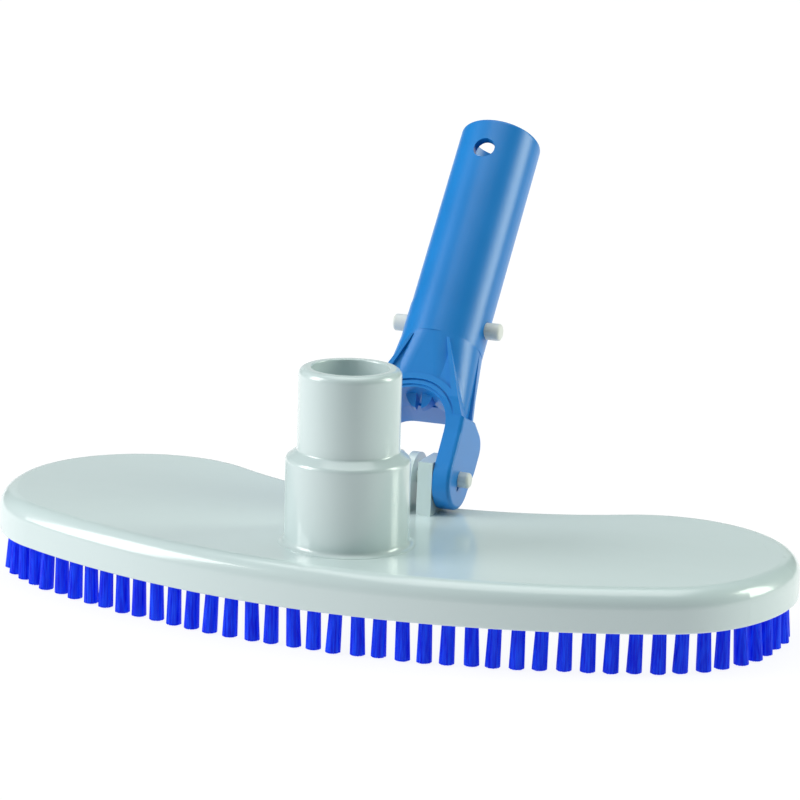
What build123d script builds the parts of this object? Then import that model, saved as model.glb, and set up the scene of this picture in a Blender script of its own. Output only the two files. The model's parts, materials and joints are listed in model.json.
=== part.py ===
"""Suction head for brushing and vacuuming pools: hollow kidney-shaped body on a ring of bristle tufts,
with a stepped hose cuff and a swivelling fork handle for a telescopic pole.

X runs along the head, -Y is its bulging front and +Z is up. The bristle tips stand on Z = 0, and the
origin is below the middle of the whole object's bounding box, with the handle leaning back.
"""

import os
from math import cos, radians, sin

from build123d import *

os.makedirs("parts", exist_ok=True)

# ---- Body: kidney outline, drawn as tangent arcs from the middle of the front round to the back dent
front_reach = 36.5  # from the hose cuff's axis to the middle of the front
front_radius, front_angle = 248.0, 26.8
corner_radius, corner_angle = 46.0, 36.2
end_radius, end_angle = 64.0, 26.2
lobe_radius, lobe_angle = 46.6, 122.1
body_height = 13.7
plate_thickness = 3.0
top_edge_radius = 6.0
lower_edge_radius = 0.8
rim_width = 10.6  # solid band round the suction chamber
rib_thickness = 1.6
rib_depth = 4.0
rib_spacing = 45.0
rib_pair_count = 2

# ---- Bristle strip and tufts
bristle_length = 14.0  # from the rim to the floor
tuft_inset = 5.4  # from the body's outer edge to the middle of the tufts
tuft_pitch = 7.3
tuft_phase = 2.3  # first tuft right of the middle of the front
slice_count = 23
strip_width = 5.4
strip_height = 4.0
strip_side_clearance = 0.1
slice_gap = 0.3
strand_size = 1.6
strand_offset = 1.15  # from the tuft's middle to each strand's middle, both ways, at the root
strand_flare = 0.026  # how far a strand leans outwards per length
root_depth = 1.5
tip_trim = 0.5  # cut off flat where the tips stand on the floor

# ---- Hose cuff
small_cuff_radius = 16.6
large_cuff_radius = 20.2
small_bore_radius = 12.5
large_bore_radius = 17.0
cuff_height = 57.4  # above the body's top
shoulder_height = 27.9
shoulder_rise = 2.6
mouth_radius = 2.4
mouth_inner_radius = 0.5
shoulder_radius = 1.8
cuff_foot_radius = 1.8
cuff_foot_edge = 0.1  # thickness of the foot's edge where it dies out on the body's top
cuff_foot_margin = 0.3
bore_step_height = 24.0

# ---- Hinge: lugs on the body, pin, fork
hinge_back = 51.6  # behind the hose cuff's axis
hinge_height = 11.2  # above the body's top
pin_radius = 2.65
pin_fit = 0.05  # running play in the fork's arms; the lugs hold the pin tight
pin_protrusion = 3.7
pin_edge_radius = 1.1
lug_side_clearance = 0.4
inner_lug_radius = 7.8
inner_lug_gap = 4.4
inner_lug_thickness = 2.8
outer_lug_thickness = 5.1
outer_lug_rise = 6.9  # above the pin's axis
outer_lug_front_top = 9.3
outer_lug_back = 5.2
inner_lug_foot_front, outer_lug_foot_front = 12.4, 10.4
lug_foot_back = 5.9
lug_foot_sink = 2.0  # reaches below the body's top, where it is then cut to the body's surface

# ---- Handle: lengths along it are measured from the hinge pin
lean = radians(39.9)  # from upright, backwards
handle_length = 133.7
shank_radius = 14.3
shank_base_swell, shank_base_top = 0.2, 61.5  # slightly wider up to just above the clip's buttons
shank_wall = 3.0
shank_end_radius = 1.2
arm_gap = 27.0
arm_thickness = 6.1
arm_end_radius = 10.4
arm_edge_radius = 1.4
arm_front_depth, arm_front_at = 11.0, 12.0  # the arm's front edge, from the handle's axis
arm_front_top_depth, arm_front_top = 12.0, 18.0
arm_top = 22.0  # where the side rib stands on the arm
arm_back_depth, arm_back_low, arm_back_top = 12.2, 8.0, 20.4
arm_shoulder_radius = 6.5
web_foot = 13.0
web_width, web_depth, web_corner = 35.6, 21.6, 8.0
flare_top = 48.0
flare_top_width = 28.6
flare_top_flat = 0.7  # half the flat left between the nearly round corners at the flare's top
arch_top, arch_corner = 26.5, 13.0  # in front; behind, the arch is lower and squarer
arch_back_top, arch_back_corner = 25.7, 7.0
bore_floor = 33.0
clip_seat_top = 63.5
clip_seat_taper = 0.3  # the bore is this much narrower where the clip sits
side_rib_thickness = 1.6
yoke_foot, yoke_foot_depth = 17.0, 11.4  # where the yoke's front comes out of the arms
yoke_full = 24.0  # its front has its full depth from here up
yoke_front_depth = 12.4
ridge_top, ridge_top_offset = 46.2, 7.0
ridge_foot_margin = 0.7  # from the arm's outer face
ridge_width_top, ridge_width_foot = 1.0, 2.8
ridge_depth = 13.5
lip_offsets = ((2.9, 5.1), (1.0, 2.3))  # inner and outer edge of each raised lip, from the arch
lip_depths = (13.2, 12.9)
boss_radius = 4.9
boss_drop = 0.5
boss_back_depth = 3.2
boss_front_depths = (5.4, 11.6)  # the boss's slanted front, at its lower and upper end
boss_slot = 2.1
cross_hole_radius = 3.8
cross_hole_at = 121.7
notch_width, notch_tip_width, notch_reach = 3.2, 0.8, 4.4

# ---- Spring clip with its two buttons, inside the shank
button_at = 57.0
button_radius = 2.95
button_fit = 0.1
button_reach = 19.55  # from the handle's axis to the button's tip
button_tip_radius = 0.9
flange_radius = 3.8
flange_thickness = 1.2
spring_half_span = 8.4
spring_thickness = 1.0
spring_half_width = 3.0
spring_straight = 4.5
spring_foot_half = 2.6
spring_bend_radius = 3.0

# ---- Worked out from the sizes above
rim_z = bristle_length
top_z = rim_z + body_height
chamber_top_z = top_z - plate_thickness
hinge_z = top_z + hinge_height
fork_half_width = arm_gap / 2 + arm_thickness
tail_reach = (
    hinge_back
    + (handle_length - shank_end_radius) * sin(lean)
    + (shank_radius - shank_end_radius) * cos(lean)
    + shank_end_radius
)
cuff_y = (front_reach - tail_reach) / 2
front_y = cuff_y - front_reach
hinge_y = cuff_y + hinge_back
strip_outer_inset = tuft_inset - strip_width / 2
strip_inner_inset = tuft_inset + strip_width / 2

up_the_handle = Vector(0, sin(lean), cos(lean))
front_of_handle = Vector(0, -cos(lean), sin(lean))
hinge = Vector(0, hinge_y, hinge_z)
side_plane = Plane(hinge, x_dir=-front_of_handle, z_dir=(1, 0, 0))  # (back, up the handle)
front_plane = Plane(hinge, x_dir=(1, 0, 0), z_dir=front_of_handle)  # (right, up the handle)
pin_axis_plane = Plane(hinge, x_dir=(0, 1, 0), z_dir=(1, 0, 0))
cuff_plane = Plane((0, cuff_y, top_z), x_dir=(1, 0, 0), z_dir=(0, -1, 0))  # (radius, above the top)


def across_handle(distance):
    """Plane square to the handle, this far up from the hinge."""
    return Plane(hinge + up_the_handle * distance, x_dir=(1, 0, 0), z_dir=up_the_handle)


def kidney_arcs(inset):
    """Radius and angle of each arc of the right half, front to back; a negative radius bends the other way."""
    arcs = [
        (front_radius - inset, front_angle),
        (corner_radius - inset, corner_angle),
        (end_radius - inset, end_angle),
        (lobe_radius - inset, lobe_angle),
    ]
    x, heading = 0.0, 0.0
    for radius, angle in arcs:
        x += radius * (sin(heading + radians(angle)) - sin(heading))
        heading += radians(angle)
    dent_angle = heading - radians(180)
    return arcs + [(-x / sin(dent_angle), dent_angle / radians(1))]


def kidney_outline(inset):
    """The body's outline moved inwards, from the middle of the front and round by the right."""
    half = kidney_arcs(inset)
    point, tangent = Vector(0, front_y + inset), Vector(1, 0)
    for radius, angle in half + half[::-1]:
        turn = angle if radius > 0 else -angle
        arc = JernArc(point, tangent, abs(radius), turn)
        point, tangent = arc @ 1, arc % 1


def point_on_tuft_line(distance):
    """Point, direction of travel and outward direction on the closed line of tufts."""
    half = kidney_arcs(tuft_inset)
    around = half + half[::-1]
    total = sum(abs(radius) * radians(angle) for radius, angle in around)
    left = distance % total
    point, heading = Vector(0, front_y + tuft_inset), 0.0
    for radius, angle in around:
        run = min(left, abs(radius) * radians(angle))
        centre = point + Vector(-sin(heading), cos(heading)) * radius
        heading += run / radius
        point = centre - Vector(-sin(heading), cos(heading)) * radius
        left -= run
        if left <= 0:
            break
    return point, Vector(cos(heading), sin(heading)), Vector(sin(heading), -cos(heading))


def kidney_face(inset, mode=Mode.ADD):
    with BuildLine() as outline:
        kidney_outline(inset)
    make_face(outline.edges(), mode=mode)


# ---- Head body: the rim round the suction chamber, with its strip groove
with BuildPart() as head_body:
    with BuildSketch(Plane.XY.offset(rim_z)):
        kidney_face(0)
    extrude(amount=body_height)
    fillet(head_body.faces().sort_by(Axis.Z)[-1].edges(), top_edge_radius)
    fillet(head_body.faces().sort_by(Axis.Z)[0].edges(), lower_edge_radius)

    with BuildSketch(Plane.XY.offset(rim_z)):
        kidney_face(rim_width)
    extrude(amount=body_height, mode=Mode.SUBTRACT)

    with BuildSketch(Plane.XY.offset(rim_z)):
        kidney_face(strip_outer_inset - strip_side_clearance)
        kidney_face(strip_inner_inset + strip_side_clearance, mode=Mode.SUBTRACT)
    extrude(amount=strip_height, mode=Mode.SUBTRACT)
head_body.part.label = "head_body"
export_step(head_body.part, "parts/head_body.step")

# ---- Plate over the suction chamber, part of the same moulding
with BuildPart() as body_plate:
    with BuildSketch(Plane.XY.offset(chamber_top_z)):
        kidney_face(rim_width)
        with Locations((0, cuff_y)):
            Circle(large_bore_radius, mode=Mode.SUBTRACT)
    extrude(amount=plate_thickness)
body_plate.part.label = "body_plate"
export_step(body_plate.part, "parts/body_plate.step")

# ---- Ribs under the plate, either side of the hose cuff
with BuildPart() as chamber_ribs:
    rib_columns = 2 * rib_pair_count + 1
    with BuildSketch(Plane.XY.offset(chamber_top_z - rib_depth)):
        with GridLocations(rib_spacing, 0, rib_columns, 1) as columns:
            pass
        with Locations([c for c in columns.locations if abs(c.position.X) > large_cuff_radius]):
            Rectangle(rib_thickness, 4 * tail_reach)
        kidney_face(rim_width, mode=Mode.INTERSECT)
    extrude(amount=rib_depth)
chamber_ribs.part.label = "chamber_ribs"
export_step(chamber_ribs.part, "parts/chamber_ribs.step")

# ---- Hose cuff, standing on the body's top as part of the same moulding
foot_reach = large_cuff_radius + cuff_foot_radius + cuff_foot_margin
with BuildPart() as hose_cuff:
    with BuildSketch(cuff_plane):
        with BuildLine():
            FilletPolyline(
                (small_bore_radius, cuff_height),
                (small_cuff_radius, cuff_height),
                (small_cuff_radius, shoulder_height + shoulder_rise),
                (large_cuff_radius, shoulder_height),
                (large_cuff_radius, cuff_foot_edge),
                (foot_reach, cuff_foot_edge),
                (foot_reach, 0),
                (large_bore_radius, 0),
                (large_bore_radius, bore_step_height),
                (small_bore_radius, bore_step_height + shoulder_rise),
                radius=[
                    mouth_inner_radius,
                    mouth_radius,
                    shoulder_radius / 2,
                    shoulder_radius,
                    cuff_foot_radius,
                    0,
                    0,
                    0,
                    shoulder_radius,
                    shoulder_radius,
                ],
                close=True,
            )
        make_face()
    revolve(axis=Axis((0, cuff_y, 0), (0, 0, 1)))
hose_cuff.part.label = "hose_cuff"
export_step(hose_cuff.part, "parts/hose_cuff.step")

# ---- Hinge lugs: two round-topped plates between two buttresses, cut to the body's surface
with BuildPart() as hinge_lugs:
    lug_foot_z = -hinge_height - lug_foot_sink
    for side in (-1, 1):
        inner_x = side * (inner_lug_gap + inner_lug_thickness) / 2
        with BuildSketch(pin_axis_plane.offset(inner_x)):
            Circle(inner_lug_radius)
            with BuildLine():
                Polyline(
                    (-inner_lug_radius, 0),
                    (-inner_lug_foot_front, lug_foot_z),
                    (lug_foot_back, lug_foot_z),
                    (inner_lug_radius, 0),
                    close=True,
                )
            make_face()
        extrude(amount=inner_lug_thickness / 2, both=True)
        outer_x = side * (arm_gap / 2 - lug_side_clearance - outer_lug_thickness / 2)
        with BuildSketch(pin_axis_plane.offset(outer_x)):
            with BuildLine():
                Polyline(
                    (-outer_lug_foot_front, lug_foot_z),
                    (-outer_lug_front_top, outer_lug_rise),
                    (outer_lug_back, outer_lug_rise),
                    (lug_foot_back, lug_foot_z),
                    close=True,
                )
            make_face()
        extrude(amount=outer_lug_thickness / 2, both=True)
    with BuildSketch(pin_axis_plane):
        Circle(pin_radius)
    extrude(amount=arm_gap / 2, both=True, mode=Mode.SUBTRACT)
    add([head_body.part, body_plate.part], mode=Mode.SUBTRACT)
hinge_lugs.part.label = "hinge_lugs"
export_step(hinge_lugs.part, "parts/hinge_lugs.step")

# ---- Bristle strip, in slices, each with its own tufts of four strands
line_length = 2 * sum(abs(radius) * radians(angle) for radius, angle in kidney_arcs(tuft_inset))
tuft_count = round(line_length / tuft_pitch)
pitch = line_length / tuft_count
window_reach = 3 * strip_width


def slice_start(number):
    """Distance along the tuft line to the cut before this slice, midway between two tufts."""
    first_tuft = round(number * tuft_count / slice_count)
    return tuft_phase + (first_tuft - 0.5) * pitch


for number in range(slice_count):
    with BuildPart() as bristle_strip:
        start = slice_start(number) + slice_gap / 2
        finish = slice_start(number + 1) - slice_gap / 2
        corners = []
        for distance, sign in ((start, 1), (finish, -1)):
            point, travel, outward = point_on_tuft_line(distance)
            corners += [point + outward * (window_reach * sign), point - outward * (window_reach * sign)]
        with BuildSketch(Plane.XY.offset(rim_z)):
            with BuildLine():
                Polyline(*corners, close=True)
            make_face()
            kidney_face(strip_outer_inset, mode=Mode.INTERSECT)
            kidney_face(strip_inner_inset, mode=Mode.SUBTRACT)
        extrude(amount=strip_height)

        first = round(number * tuft_count / slice_count)
        last = round((number + 1) * tuft_count / slice_count)
        for tuft in range(first, last):
            point, travel, outward = point_on_tuft_line(tuft_phase + tuft * pitch)
            for along, across in ((-1, -1), (-1, 1), (1, -1), (1, 1)):
                aside = travel * along + outward * across
                root = point + aside * strand_offset + Vector(0, 0, rim_z + root_depth)
                droop = aside * strand_flare + Vector(0, 0, -1)
                with BuildSketch(Plane(root, x_dir=travel, z_dir=droop)):
                    Rectangle(strand_size, strand_size)
        extrude(amount=root_depth + bristle_length + 2 * tip_trim)
        split(bisect_by=Plane.XY, keep=Keep.TOP)
    name = f"bristle_strip_{number + 1:02d}"
    bristle_strip.part.label = name
    export_step(bristle_strip.part, f"parts/{name}.step")

# ---- Hinge pin, through both fork arms and the lugs
pin_half_length = fork_half_width + pin_protrusion
with BuildPart() as hinge_pin:
    with BuildSketch(pin_axis_plane):
        Circle(pin_radius)
    extrude(amount=pin_half_length, both=True)
    fillet(hinge_pin.edges().filter_by(GeomType.CIRCLE), pin_edge_radius)
hinge_pin.part.label = "hinge_pin"
export_step(hinge_pin.part, "parts/hinge_pin.step")


def arch_outline(offset_out, top=arch_top, corner=arch_corner):
    """The fork's gap under its arch, grown outwards by offset_out."""
    half_gap = arm_gap / 2 + offset_out
    FilletPolyline(
        (-half_gap, -2 * arm_end_radius),
        (-half_gap, top + offset_out),
        (half_gap, top + offset_out),
        (half_gap, -2 * arm_end_radius),
        radius=[0, corner + offset_out, corner + offset_out, 0],
        close=True,
    )


def yoke_front_outline(inset_top, inset_foot):
    """The yoke's front between the outer edges of its two ridges, narrowed by the insets."""
    half_top = ridge_top_offset - inset_top
    half_foot = fork_half_width - ridge_foot_margin - inset_foot
    Polyline(
        (-half_foot, yoke_foot), (half_foot, yoke_foot), (half_top, ridge_top), (-half_top, ridge_top), close=True
    )


def yoke_stock(full_depth):
    """Slab across the fork, from its middle forwards, that comes out of the arms up to its full depth."""
    with BuildSketch(side_plane) as wedge:
        with BuildLine():
            Polyline(
                (0, yoke_foot),
                (-yoke_foot_depth, yoke_foot),
                (-full_depth, yoke_full),
                (-full_depth, ridge_top),
                (0, ridge_top),
                close=True,
            )
        make_face()
    extrude(wedge.sketch, amount=fork_half_width, both=True)


# ---- Handle's yoke front: plate, two lips that follow the arch, and a ridge along each outer edge
with BuildPart() as yoke_plate:
    yoke_stock(yoke_front_depth)
    with BuildSketch(front_plane):
        with BuildLine():
            yoke_front_outline(0, 0)
        make_face()
    extrude(amount=2 * ridge_depth, both=True, mode=Mode.INTERSECT)

yoke_layers = [yoke_plate]
for (lip_inner, lip_outer), lip_depth in zip(lip_offsets, lip_depths):
    with BuildPart() as lip:
        yoke_stock(lip_depth)
        with BuildSketch(front_plane):
            with BuildLine():
                arch_outline(lip_outer)
            make_face()
            with BuildLine():
                arch_outline(lip_inner)
            make_face(mode=Mode.SUBTRACT)
            with BuildLine():
                yoke_front_outline(ridge_width_top / 2, ridge_width_foot / 2)
            make_face(mode=Mode.INTERSECT)
        extrude(amount=2 * ridge_depth, both=True, mode=Mode.INTERSECT)
    yoke_layers.append(lip)

with BuildPart() as ridges:
    yoke_stock(ridge_depth)
    with BuildSketch(front_plane):
        with BuildLine():
            yoke_front_outline(0, 0)
        make_face()
        with BuildLine():
            yoke_front_outline(ridge_width_top, ridge_width_foot)
        make_face(mode=Mode.SUBTRACT)
    extrude(amount=2 * ridge_depth, both=True, mode=Mode.INTERSECT)
yoke_layers.append(ridges)

# ---- Handle's boss: slotted half round under the arch, with a slanted front
with BuildPart() as boss:
    with BuildSketch(side_plane):
        with BuildLine():
            boss_low, boss_high = boss_front_depths
            Polyline(
                (-boss_back_depth, arch_top + boss_drop - boss_radius),
                (-boss_low, arch_top + boss_drop - boss_radius),
                (-boss_high, arch_top + boss_drop + boss_radius),
                (-boss_back_depth, arch_top + boss_drop + boss_radius),
                close=True,
            )
        make_face()
    extrude(amount=boss_radius, both=True)
    with BuildSketch(front_plane):
        with Locations((0, arch_top + boss_drop)):
            Circle(boss_radius)
        with Locations((0, arch_top - boss_radius)):
            Rectangle(boss_slot, 2 * boss_radius, mode=Mode.SUBTRACT)
    extrude(amount=2 * ridge_depth, both=True, mode=Mode.INTERSECT)

# ---- Handle: fork arms, flared web, ribs, shank, and what is cut out of them
with BuildPart() as handle:
    with BuildSketch(side_plane):
        with BuildLine():
            FilletPolyline(
                (-arm_end_radius, 0),
                (-arm_front_depth, arm_front_at),
                (-arm_front_top_depth, arm_front_top),
                (0, arm_top),
                (arm_back_depth, arm_back_top),
                (arm_back_depth, arm_back_low),
                (arm_end_radius, 0),
                radius=[0, 0, 0, arm_shoulder_radius, 0],
            )
            ThreePointArc((arm_end_radius, 0), (0, -arm_end_radius), (-arm_end_radius, 0))
        make_face()
    extrude(amount=fork_half_width, both=True)
    outer_edges = handle.faces().sort_by(Axis.X)[-1].edges() + handle.faces().sort_by(Axis.X)[0].edges()
    fillet(outer_edges, arm_edge_radius)

    with BuildSketch(across_handle(web_foot)):
        RectangleRounded(web_width, web_depth, web_corner)
    with BuildSketch(across_handle(flare_top)):
        RectangleRounded(flare_top_width, flare_top_width, flare_top_width / 2 - flare_top_flat)
    loft()
    with BuildSketch(across_handle(flare_top)):
        Circle(shank_radius + shank_base_swell)
    extrude(amount=shank_base_top - flare_top)
    with BuildSketch(across_handle(shank_base_top)):
        Circle(shank_radius)
    extrude(amount=handle_length - shank_base_top)
    fillet(handle.edges().filter_by(GeomType.CIRCLE).sort_by(Axis.Z)[-1], shank_end_radius)

    with BuildSketch(front_plane):
        with BuildLine():
            Polyline(
                (0, flare_top + side_rib_thickness),
                (shank_radius, flare_top),
                (fork_half_width - side_rib_thickness / 2, arm_front_top),
                (0, arm_front_top),
                close=True,
            )
        make_face()
        mirror(about=Plane.YZ)
    extrude(amount=side_rib_thickness / 2, both=True)
    for layer in yoke_layers:
        add(layer.part)

    with BuildSketch(front_plane):
        with BuildLine():
            arch_outline(0)
        make_face()
    extrude(amount=2 * arm_back_depth, mode=Mode.SUBTRACT)
    with BuildSketch(front_plane):
        with BuildLine():
            arch_outline(0, arch_back_top, arch_back_corner)
        make_face()
    extrude(amount=-2 * arm_back_depth, mode=Mode.SUBTRACT)
    with BuildSketch(across_handle(bore_floor)):
        Circle(shank_radius - shank_wall - clip_seat_taper)
    extrude(amount=clip_seat_top - bore_floor, mode=Mode.SUBTRACT)
    with BuildSketch(across_handle(clip_seat_top)):
        Circle(shank_radius - shank_wall)
    extrude(amount=handle_length, mode=Mode.SUBTRACT)

    add(boss.part)

    with BuildSketch(side_plane):
        Circle(pin_radius + pin_fit)
        with BuildLine():
            Polyline(
                (-notch_width / 2, 0),
                (-notch_tip_width / 2, -notch_reach),
                (notch_tip_width / 2, -notch_reach),
                (notch_width / 2, 0),
                close=True,
            )
        make_face()
    extrude(amount=pin_half_length, both=True, mode=Mode.SUBTRACT)
    with BuildSketch(side_plane):
        with Locations((0, button_at)):
            Circle(button_radius + button_fit)
    extrude(amount=2 * shank_radius, both=True, mode=Mode.SUBTRACT)
    with BuildSketch(front_plane):
        with Locations((0, cross_hole_at)):
            Circle(cross_hole_radius)
    extrude(amount=2 * shank_radius, mode=Mode.SUBTRACT)
handle.part.label = "handle"
export_step(handle.part, "parts/handle.step")

# ---- Clip spring: bowed strip standing on the bore's floor
with BuildPart() as clip_spring:
    with BuildSketch(front_plane):
        with BuildLine():
            FilletPolyline(
                (-spring_half_span, button_at + spring_straight),
                (-spring_half_span, button_at - spring_straight),
                (-spring_foot_half, bore_floor + spring_thickness / 2),
                (spring_foot_half, bore_floor + spring_thickness / 2),
                (spring_half_span, button_at - spring_straight),
                (spring_half_span, button_at + spring_straight),
                radius=spring_bend_radius,
            )
        trace(line_width=spring_thickness)
    extrude(amount=spring_half_width, both=True)
clip_spring.part.label = "clip_spring"
export_step(clip_spring.part, "parts/clip_spring.step")

# ---- Clip buttons: they slide through the shank's wall, and their flange stops inside it
flange_x = spring_half_span + spring_thickness / 2
for side, name in ((1, "clip_button_right"), (-1, "clip_button_left")):
    with BuildPart() as clip_button:
        with BuildSketch(side_plane.offset(side * flange_x)):
            with Locations((0, button_at)):
                Circle(flange_radius)
        extrude(amount=side * flange_thickness)
        with BuildSketch(side_plane.offset(side * flange_x)):
            with Locations((0, button_at)):
                Circle(button_radius)
        extrude(amount=side * (button_reach - flange_x))
        tip_edge = clip_button.edges().filter_by(GeomType.CIRCLE).sort_by(Axis.X)[-1 if side > 0 else 0]
        fillet(tip_edge, button_tip_radius)
    clip_button.part.label = name
    export_step(clip_button.part, f"parts/{name}.step")
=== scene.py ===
"""Suction head for cleaning pools: white moulded body and hose cuff, a ring of blue bristle tufts,
and a blue swivelling handle with a spring clip. Everything is in metres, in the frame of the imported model.
"""

import json
import random
from math import cos, pi, radians, sin

import bpy
from mathutils import Matrix, Vector

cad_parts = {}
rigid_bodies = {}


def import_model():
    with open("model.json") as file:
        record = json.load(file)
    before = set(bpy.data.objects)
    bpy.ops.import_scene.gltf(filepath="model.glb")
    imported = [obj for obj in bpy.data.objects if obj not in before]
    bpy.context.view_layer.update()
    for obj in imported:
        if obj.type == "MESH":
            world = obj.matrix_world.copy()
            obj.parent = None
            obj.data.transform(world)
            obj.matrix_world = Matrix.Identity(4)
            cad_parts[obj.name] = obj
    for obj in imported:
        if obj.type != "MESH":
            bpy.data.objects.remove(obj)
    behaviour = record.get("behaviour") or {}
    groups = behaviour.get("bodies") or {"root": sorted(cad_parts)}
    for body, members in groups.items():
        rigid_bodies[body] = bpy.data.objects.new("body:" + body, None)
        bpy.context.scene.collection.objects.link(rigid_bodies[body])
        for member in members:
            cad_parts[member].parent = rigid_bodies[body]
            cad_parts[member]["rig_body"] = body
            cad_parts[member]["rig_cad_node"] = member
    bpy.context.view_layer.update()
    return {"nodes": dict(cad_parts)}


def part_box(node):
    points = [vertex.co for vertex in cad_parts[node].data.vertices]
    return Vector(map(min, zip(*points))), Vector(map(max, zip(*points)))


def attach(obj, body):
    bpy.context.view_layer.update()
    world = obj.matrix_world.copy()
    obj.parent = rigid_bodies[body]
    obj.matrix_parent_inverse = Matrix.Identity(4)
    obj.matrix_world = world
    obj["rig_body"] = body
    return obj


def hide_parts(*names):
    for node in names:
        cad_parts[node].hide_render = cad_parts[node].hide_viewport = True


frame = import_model()
nodes = frame["nodes"]
bpy.ops.object.select_all(action="DESELECT")

# ---- Camera
# It stands before the head's right half, above it, and looks down through a long lens. The angles are
# radians: turned to the left, tilted down, and rolled a little, as the photograph is.
camera_place = Vector((0.3630, -0.9499, 0.2906))
camera_turn, camera_tilt, camera_roll = 0.369, 0.220, 0.028
lens_mm, sensor_mm = 139.3, 36.0
nearest_seen, farthest_seen = 0.01, 50.0
bpy.ops.object.camera_add()
camera = bpy.context.object
camera.name = "camera"
camera.data.lens, camera.data.sensor_width = lens_mm, sensor_mm
camera.data.clip_start, camera.data.clip_end = nearest_seen, farthest_seen
camera.matrix_world = (
    Matrix.Translation(camera_place)
    @ Matrix.Rotation(camera_turn, 4, "Z")
    @ Matrix.Rotation(pi / 2 - camera_tilt, 4, "X")
    @ Matrix.Rotation(camera_roll, 4, "Z")
)
bpy.context.scene.camera = camera

# ---- Floor and light
# A white floor that runs out of view all round and glows more the further out it lies. In front of the
# object it falls off to grey, which with the dim walls makes the dark band down the round cuff. Large soft
# lamps stand on the left, on the right, above and behind.
floor_half_size = 12.0
floor_glow_near, floor_glow_far = 0.90, 0.97
glow_near_reach, glow_far_reach = 0.4, 1.6
no_glow, full_glow = (0.0, 0.0, 0.0, 1.0), (1.0, 1.0, 1.0, 1.0)
floor_front_dark, floor_front_light = -0.38, -0.26  # the floor turns from grey to white between these Y
floor_grey = (0.42, 0.45, 0.45, 1.0)
floor_under_glow = (0.10, 0.10, 0.10, 1.0)  # dark, so that the lamps add little to its glow
floor_roughness = 0.9
room_dim, room_bright = (0.06, 0.095, 0.09, 1.0), (0.24, 0.31, 0.30, 1.0)  # its walls and its ceiling
ceiling_edge, ceiling_full = 0.30, 1.0  # sines of the heights where the ceiling starts and is brightest
lamps = [  # name, place, width and height, watts, colour
    ("lamp_left", (-1.25, -0.66, 0.70), (0.8, 1.1), 19.0, (1.0, 1.0, 0.98)),
    ("lamp_right", (1.25, 0.66, 0.60), (0.45, 0.9), 11.5, (0.93, 1.0, 0.87)),
    ("lamp_above", (-0.05, 0.10, 1.40), (1.1, 1.2), 8.0, (1.0, 1.0, 1.0)),
    ("lamp_back", (-0.75, 1.95, 0.50), (1.8, 0.8), 2.0, (1.0, 1.0, 1.0)),
]
lamp_aim = Vector((0.0, 0.0, 0.05))


class Shade:
    """A socket among a material's nodes. Arithmetic on it adds Math nodes, and node() adds any other."""

    def __init__(self, tree, socket=None):
        self.tree, self.socket = tree, socket

    def node(self, kind, settings, sockets, out=0):
        """Adds a node, sets its settings, then gives its sockets their values or links."""
        made = self.tree.nodes.new("ShaderNode" + kind)
        for name, value in settings.items():
            setattr(made, name, value)
        for name, value in sockets.items():
            if isinstance(value, Shade):
                self.tree.links.new(value.socket, made.inputs[name])
            else:
                made.inputs[name].default_value = value
        return Shade(self.tree, made.outputs[out] if len(made.outputs) else None)

    def math(self, operation, *values):
        return self.node("Math", {"operation": operation}, dict(enumerate(values)))

    def __add__(self, other):
        return self.math("ADD", self, other)

    def __mul__(self, other):
        return self.math("MULTIPLY", self, other)

    __radd__, __rmul__ = __add__, __mul__

    def mixed(self, first, second):
        """A colour between first and second, where this socket is the share of the second."""
        settings = {"data_type": "RGBA", "clamp_factor": True}
        return self.node("Mix", settings, {0: self, 6: first, 7: second}, out=2)


def new_material(name):
    """An empty material, and the start of its node expressions."""
    material = bpy.data.materials.new(name)
    material.use_nodes = True
    material.node_tree.nodes.clear()
    return material, Shade(material.node_tree)


floor_material, shade = new_material("pale_floor")
place = shade.node("TexCoord", {}, {}, out="Object")
reach = shade.node("VectorMath", {"operation": "LENGTH"}, {0: place}, out="Value")
glow = shade.node("MapRange", {}, {
    "Value": reach,
    "From Min": glow_near_reach,
    "From Max": glow_far_reach,
    "To Min": floor_glow_near,
    "To Max": floor_glow_far,
})
along_y = shade.node("SeparateXYZ", {}, {0: place}, out="Y")
whiteness = shade.node("MapRange", {}, {
    "Value": along_y,
    "From Min": floor_front_dark,
    "From Max": floor_front_light,
})
surface = shade.node("BsdfPrincipled", {}, {
    "Base Color": whiteness.mixed(floor_grey, floor_under_glow),
    "Roughness": floor_roughness,
    "Emission Color": (glow * whiteness).mixed(no_glow, full_glow),
    "Emission Strength": 1.0,
})
shade.node("OutputMaterial", {}, {"Surface": surface})
bpy.ops.mesh.primitive_plane_add(size=2 * floor_half_size)
floor = bpy.context.object
floor.name = "floor"
floor.data.materials.append(floor_material)

room = bpy.data.worlds.new("room")
bpy.context.scene.world = room
room.use_nodes = True
room.node_tree.nodes.clear()
shade = Shade(room.node_tree)
direction = shade.node("TexCoord", {}, {}, out="Generated")
upward = shade.node("SeparateXYZ", {}, {0: direction}, out="Z")
ceiling = shade.node("MapRange", {"interpolation_type": "SMOOTHSTEP"}, {
    "Value": upward,
    "From Min": ceiling_edge,
    "From Max": ceiling_full,
})
sky = shade.node("Background", {}, {"Color": ceiling.mixed(room_dim, room_bright)})
shade.node("OutputWorld", {}, {"Surface": sky})
for name, lamp_place, (width, height), watts, colour in lamps:
    bpy.ops.object.light_add(type="AREA", location=lamp_place)
    lamp = bpy.context.object
    lamp.name = name
    lamp.data.shape = "RECTANGLE"
    lamp.data.size, lamp.data.size_y = width, height
    lamp.data.energy, lamp.data.color = watts, colour
    lamp.rotation_euler = (lamp_aim - Vector(lamp_place)).to_track_quat("-Z", "Y").to_euler()
bpy.context.scene.view_settings.view_transform = "Standard"

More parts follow.
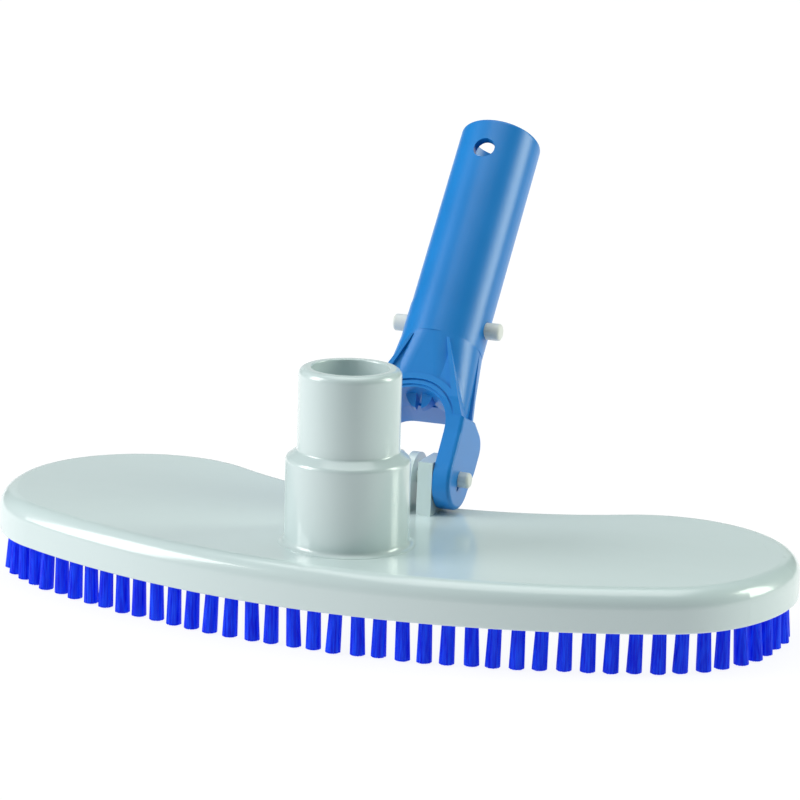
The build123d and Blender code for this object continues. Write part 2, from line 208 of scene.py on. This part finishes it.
# ---- Head body: rim, top plate, ribs, hose cuff and hinge lugs
# One glossy off-white ABS moulding. Its surface has the faint waviness of a large flat moulding, a fine
# grain that breaks up the gloss, and slightly duller patches.
white, white_deep = (0.665, 0.76, 0.77, 1.0), (0.63, 0.735, 0.74, 1.0)
white_wave_scale, white_grain_scale, white_patch_scale = 70.0, 1400.0, 22.0
white_grain_height = 0.05  # beside the waves'
white_gloss, white_dulling = 0.17, 0.12  # roughness of the glossiest spots, and what a patch adds
white_material, shade = new_material("white_abs_gloss")
place = shade.node("TexCoord", {}, {}, out="Object")
waves = shade.node("TexNoise", {}, {"Vector": place, "Scale": white_wave_scale, "Detail": 1.0})
grain = shade.node("TexNoise", {}, {"Vector": place, "Scale": white_grain_scale, "Detail": 2.0})
patches = shade.node("TexNoise", {}, {"Vector": place, "Scale": white_patch_scale, "Detail": 4.0})
bumps = shade.node("Bump", {}, {
    "Height": waves + grain * white_grain_height,
    "Strength": 0.35,
    "Distance": 0.00012,
})
surface = shade.node("BsdfPrincipled", {}, {
    "Base Color": patches.mixed(white_deep, white),
    "Roughness": white_gloss + patches * white_dulling,
    "Specular IOR Level": 0.6,
    "Coat Weight": 0.5,
    "Coat Roughness": 0.13,
    "Normal": bumps,
})
shade.node("OutputMaterial", {}, {"Surface": surface})
for name in ("head_body", "body_plate", "chamber_ribs", "hose_cuff", "hinge_lugs"):
    nodes[name].data.materials.clear()
    nodes[name].data.materials.append(white_material)

# ---- Bristle tufts on their strip
# Each tuft is a bundle of fine blue nylon filaments, folded over and stapled into the strip under the rim.
# The bundle opens a little towards its tips, which are cut to one length but fray with use.
filament_radius = 0.00012
filament_sides = 5
bundle_rings = 7  # rings of filaments round the middle one
ring_growth = 6  # filaments that each ring has more than the one inside it
bundle_root_radius = 0.00198
bundle_tip_radius = 0.00234
filament_turn = 0.1  # radians that a filament may stand off its even place in the ring
filament_stray = 0.00005
root_stray = 0.3  # share of the stray that is left at the root
tip_unevenness = 0.00012
tip_rounding = 0.00045
core_margin, core_sides = 0.00006, 24  # the bundle closes to a smooth body that its filaments stand out of
core_lift = 0.0009  # it ends this far above the tips
sharpest_smoothed = radians(75)
root_sink = 0.0015
tuft_models = 6
tuft_lean = 0.0006  # how far a tuft's tips may lean to any side
corner_lean, corner_start, corner_full = 0.0008, 0.090, 0.125  # outwards, where the ring bends most
ring_middle = Vector((0.0, -0.03, 0.0))
rim_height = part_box("head_body")[0].z
strip_trim = 0.0002  # cut off the strip's face, and the plain strands with it
merge_distance = 1e-6
seed = random.Random(7)

blue_bristle, blue_bristle_deep = (0.006, 0.080, 1.0, 1.0), (0.0, 0.008, 0.72, 1.0)
bristle_painted_glow = (0.0, 0.002, 0.09, 1.0)  # painted glow: an even emission that lightens the tufts all over, standing in for light that the nylon passes on inside the bundle
streak_scale, streak_stretch = 1500.0, (1.0, 1.0, 0.06)  # drawn out along the filaments
streak_dark, streak_light = 0.35, 0.7
blue_material, shade = new_material("blue_bristle_nylon")
place = shade.node("TexCoord", {}, {}, out="Object")
drawn_out = shade.node("Mapping", {}, {"Vector": place, "Scale": streak_stretch})
streaks = shade.node("TexNoise", {}, {"Vector": drawn_out, "Scale": streak_scale, "Detail": 2.0})
lightness = shade.node("MapRange", {}, {
    "Value": streaks,
    "From Min": streak_dark,
    "From Max": streak_light,
})
surface = shade.node("BsdfPrincipled", {}, {
    "Base Color": lightness.mixed(blue_bristle_deep, blue_bristle),
    "Roughness": 0.30,
    "Specular IOR Level": 0.15,
    # painted glow: the tufts give off a faint blue light of their own
    "Emission Color": bristle_painted_glow,
    "Emission Strength": 1.0,
})
shade.node("OutputMaterial", {}, {"Surface": surface})


def tuft_mesh():
    """One bundle of filaments, standing on its tips at the origin."""
    filaments = []
    for ring in range(bundle_rings + 1):
        ring_count = max(ring_growth * ring, 1)
        for step in range(ring_count):
            angle = 2 * pi * step / ring_count + seed.uniform(-filament_turn, filament_turn)
            out = Vector((cos(angle), sin(angle), 0)) * (ring / bundle_rings)
            stray = Vector((seed.uniform(-1, 1), seed.uniform(-1, 1), 0)) * filament_stray
            tip_height = seed.uniform(0, tip_unevenness) + tip_rounding * out.length_squared
            root_height = rim_height + root_sink
            tip = out * bundle_tip_radius + stray + Vector((0, 0, tip_height))
            root = out * bundle_root_radius + stray * root_stray + Vector((0, 0, root_height))
            bpy.ops.mesh.primitive_cylinder_add(
                vertices=filament_sides,
                radius=filament_radius,
                depth=(root - tip).length,
                location=(root + tip) / 2,
                rotation=(root - tip).to_track_quat("Z", "Y").to_euler(),
            )
            filaments.append(bpy.context.object)
    core_height = rim_height + root_sink - core_lift
    bpy.ops.mesh.primitive_cone_add(
        vertices=core_sides,
        radius1=bundle_tip_radius + core_margin,
        radius2=bundle_root_radius + core_margin,
        depth=core_height,
        location=(0, 0, core_lift + core_height / 2),
    )
    for filament in filaments:
        filament.select_set(True)
    bpy.ops.object.join()
    bpy.ops.object.transform_apply(location=True, rotation=True, scale=True)
    bpy.ops.object.shade_smooth_by_angle(angle=sharpest_smoothed)
    tuft = bpy.context.object
    mesh = tuft.data
    bpy.data.objects.remove(tuft)
    return mesh


def tuft_places(slice_node):
    """Middle and direction of each tuft of a slice, from the cut tips of its four plain strands."""
    facing_down, tip_zone = -0.99, 0.0001
    half = 4  # triangles on the tips of two strands
    faces = slice_node.data.polygons
    tips = [f.center.copy() for f in faces if f.normal.z < facing_down and f.center.z < tip_zone]
    middle = sum(tips, Vector()) / len(tips)
    far_end = max(tips, key=lambda tip: (tip - middle).length)
    tips.sort(key=lambda tip: (tip - middle).dot(far_end - middle))
    places = []
    for first in range(0, len(tips), 2 * half):
        one = tips[first : first + 2 * half]
        along = sum(one[half:], Vector()) - sum(one[:half], Vector())
        places.append((sum(one, Vector()) / len(one), along))
    return places


tuft_meshes = [tuft_mesh() for _ in range(tuft_models)]
for name in sorted(node for node in nodes if node.startswith("bristle_strip")):
    slice_node = nodes[name]
    bpy.ops.object.select_all(action="DESELECT")
    strip = slice_node.copy()
    strip.data = slice_node.data.copy()
    bpy.context.collection.objects.link(strip)
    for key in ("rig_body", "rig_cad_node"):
        del strip[key]
    strip.parent = None
    strip.name = name.replace("bristle_strip", "tufts")
    bpy.context.view_layer.objects.active = strip
    strip.select_set(True)
    bpy.ops.object.mode_set(mode="EDIT")
    bpy.ops.mesh.select_all(action="SELECT")
    bpy.ops.mesh.remove_doubles(threshold=merge_distance)
    bpy.ops.mesh.select_all(action="SELECT")
    bpy.ops.mesh.bisect(
        plane_co=(0, 0, rim_height + strip_trim),
        plane_no=(0, 0, 1),
        use_fill=True,
        clear_inner=True,
    )
    bpy.ops.object.mode_set(mode="OBJECT")
    for middle, along in tuft_places(slice_node):
        tuft = bpy.data.objects.new("tuft", seed.choice(tuft_meshes).copy())
        turn = along.to_track_quat("X", "Z").to_matrix().to_4x4()
        spin = Matrix.Rotation(seed.choice(range(ring_growth)) * 2 * pi / ring_growth, 4, "Z")
        outward = along.cross(Vector((0, 0, 1))).normalized()
        outward = outward if outward.dot(middle - ring_middle) > 0 else -outward
        bend = min(max((abs(middle.x) - corner_start) / (corner_full - corner_start), 0.0), 1.0)
        lean = outward * (corner_lean * bend)
        lean += Vector((seed.uniform(-1, 1), seed.uniform(-1, 1), 0)) * tuft_lean
        tilt = Matrix.Translation(lean)
        tilt[0][2], tilt[1][2] = -lean.x / rim_height, -lean.y / rim_height
        tuft.data.transform(Matrix.Translation((middle.x, middle.y, 0)) @ tilt @ turn @ spin)
        bpy.context.collection.objects.link(tuft)
        tuft.select_set(True)
    bpy.ops.object.join()
    strip.data.materials.clear()
    strip.data.materials.append(blue_material)
    for polygon in strip.data.polygons:
        polygon.material_index = 0
    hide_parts(name)
    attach(strip, "head")

# ---- Handle
# One blue moulding with a satin skin: a tubular shank, a flared yoke with ridges, and two fork arms. Its
# colour and its shine drift a little from place to place, and the skin has a fine grain.
blue_handle, blue_handle_deep = (0.010, 0.235, 0.68, 1.0), (0.006, 0.205, 0.60, 1.0)
handle_cloud_scale, handle_grain_scale = 60.0, 900.0
handle_gloss, handle_dulling = 0.30, 0.04
handle_material, shade = new_material("blue_handle_satin")
place = shade.node("TexCoord", {}, {}, out="Object")
clouds = shade.node("TexNoise", {}, {"Vector": place, "Scale": handle_cloud_scale, "Detail": 1.0})
grain = shade.node("TexNoise", {}, {"Vector": place, "Scale": handle_grain_scale, "Detail": 2.0})
bumps = shade.node("Bump", {}, {"Height": grain, "Strength": 0.15, "Distance": 0.00005})
surface = shade.node("BsdfPrincipled", {}, {
    "Base Color": clouds.mixed(blue_handle_deep, blue_handle),
    "Roughness": handle_gloss + clouds * handle_dulling,
    "Specular IOR Level": 0.5,
    "Normal": bumps,
})
shade.node("OutputMaterial", {}, {"Surface": surface})
nodes["handle"].data.materials.clear()
nodes["handle"].data.materials.append(handle_material)

# ---- Hinge pin and pole clip
# The pin goes through both fork arms and the lugs, and the clip's two buttons stand out of the shank. They
# and the clip's spring are natural white nylon, faintly mottled, with a soft waxy shine.
nylon, nylon_deep = (0.82, 0.82, 0.79, 1.0), (0.74, 0.75, 0.71, 1.0)
nylon_mottle_scale = 240.0
nylon_gloss, nylon_dulling = 0.34, 0.12
nylon_material, shade = new_material("white_nylon_waxy")
place = shade.node("TexCoord", {}, {}, out="Object")
mottle = shade.node("TexNoise", {}, {"Vector": place, "Scale": nylon_mottle_scale, "Detail": 3.0})
bumps = shade.node("Bump", {}, {"Height": mottle, "Strength": 0.2, "Distance": 0.0001})
surface = shade.node("BsdfPrincipled", {}, {
    "Base Color": mottle.mixed(nylon_deep, nylon),
    "Roughness": nylon_gloss + mottle * nylon_dulling,
    "Normal": bumps,
})
shade.node("OutputMaterial", {}, {"Surface": surface})
for name in ("hinge_pin", "clip_spring", "clip_button_left", "clip_button_right"):
    nodes[name].data.materials.clear()
    nodes[name].data.materials.append(nylon_material)
